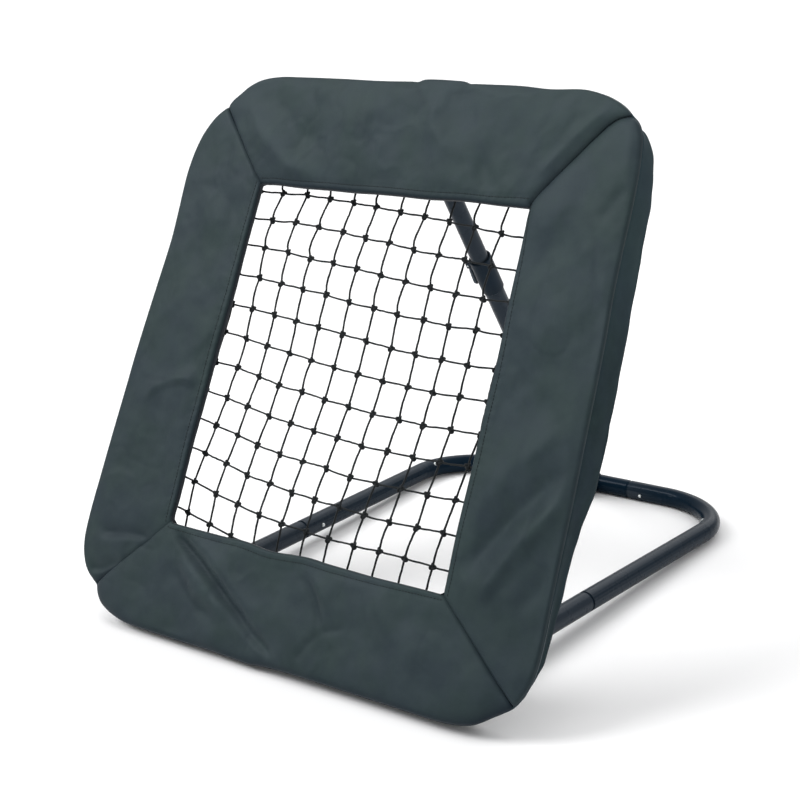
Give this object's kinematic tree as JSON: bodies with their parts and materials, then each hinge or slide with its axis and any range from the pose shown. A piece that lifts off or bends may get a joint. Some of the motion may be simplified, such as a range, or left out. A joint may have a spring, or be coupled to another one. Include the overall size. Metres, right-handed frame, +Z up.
{
  "type": "pitch back rebounder",
  "caption": "Free-standing pitch-back rebounder: padded fabric frame round a knotted net, hinged to a U-shaped tube base and held leaning back by a telescopic prop with a clamp lever.",
  "frame": {"origin": "centre of the footprint's bounding box, on the ground", "axes": "+Z up, -Y towards the player (the rebound side of the panel), +X to the right seen from the player"},
  "size_m": [0.74, 0.8801, 0.737],
  "materials": {
    "cover_fabric": "woven polyester, satin coating",
    "binding": "woven tape",
    "foam": "closed-cell foam sheet",
    "tube_paint": "blue-black powder coat, semi-gloss",
    "zinc": "bright zinc plate",
    "black_plastic": "moulded",
    "spring_steel": "blued",
    "net_twine": "braided polyester",
    "elastic": "elastic cord"
  },
  "bodies": {
    "base": {"base_rear_left": "tube_paint", "base_rear_right": "tube_paint", "base_front_left": "tube_paint", "base_front_right": "tube_paint", "pivot_bracket_left": "tube_paint", "pivot_bracket_right": "tube_paint", "leg_end_caps": "black_plastic", "leg_bolts": "zinc", "leg_nuts": "zinc", "prop_bracket_foot": "tube_paint", "foot_pivot_bolt": "zinc", "foot_pivot_nut": "zinc", "bend_rivets": "zinc", "button_springs": "spring_steel"},
    "panel": {"frame_upper": "tube_paint", "frame_lower": "tube_paint", "frame_screws": "zinc", "prop_bracket_top": "tube_paint", "top_pivot_bolt": "zinc", "top_pivot_nut": "zinc", "face_top": "cover_fabric", "face_bottom": "cover_fabric", "face_left": "cover_fabric", "face_right": "cover_fabric", "side_band": "cover_fabric", "back_hem": "cover_fabric", "cover_lining": "cover_fabric", "opening_binding": "binding", "pad_top": "foam", "pad_bottom": "foam", "pad_left": "foam", "pad_right": "foam", "rebound_net": "net_twine", "net_border_cord": "net_twine", "net_tie_loops": "elastic"},
    "prop_sleeve": {"prop_lower": "tube_paint", "prop_foot_plug": "black_plastic", "clamp_collar": "black_plastic", "lever_pin": "zinc", "clamp_shoe": "black_plastic"},
    "prop_rod": {"prop_upper": "tube_paint", "prop_top_cap": "black_plastic", "prop_guide_bush": "black_plastic"},
    "lever": {"cam_lever": "tube_paint"},
    "snap_left": {"button_left": "zinc"},
    "snap_right": {"button_right": "zinc"},
    "snap_rear": {"button_rear": "zinc"}
  },
  "joints": [
    {"name": "panel_tilt", "type": "hinge", "parent": "base", "child": "panel", "pos_m": [0, -0.40431, 0.02], "axis": [-1, 0, 0], "range_deg": [-14, 15]},
    {"name": "prop_pivot", "type": "hinge", "parent": "base", "child": "prop_sleeve", "pos_m": [0, 0.393, 0.018], "axis": [-1, 0, 0], "range_deg": [-5.72, 6.13]},
    {"name": "prop_slide", "type": "slide", "parent": "prop_sleeve", "child": "prop_rod", "axis": [0, -0.5866, 0.8099], "range_m": [-0.1688, 0.1576]},
    {"name": "lever_swing", "type": "hinge", "parent": "prop_sleeve", "child": "lever", "pos_m": [-0.0199, 0.07446, 0.45775], "axis": [0, 0.8099, 0.5866], "range_deg": [0, 100]},
    {"name": "button_press_left", "type": "slide", "parent": "base", "child": "snap_left", "axis": [-0.9991, -0.0419, 0.0011], "range_m": [0, 0.0034], "stiffness_N_per_m": 900, "springref_m": -0.002},
    {"name": "button_press_right", "type": "slide", "parent": "base", "child": "snap_right", "axis": [0.9991, -0.0419, 0.0011], "range_m": [0, 0.0034], "stiffness_N_per_m": 900, "springref_m": -0.002},
    {"name": "button_press_rear", "type": "slide", "parent": "base", "child": "snap_rear", "axis": [0, 0.9831, 0.1831], "range_m": [0, 0.0034], "stiffness_N_per_m": 900, "springref_m": -0.002}
  ],
  "couplings": [
    {"joint": "prop_pivot", "follows": "panel_tilt", "ratio": 0.40819},
    {"joint": "prop_slide", "follows": "panel_tilt", "m_per_rad": -0.64431}
  ]
}
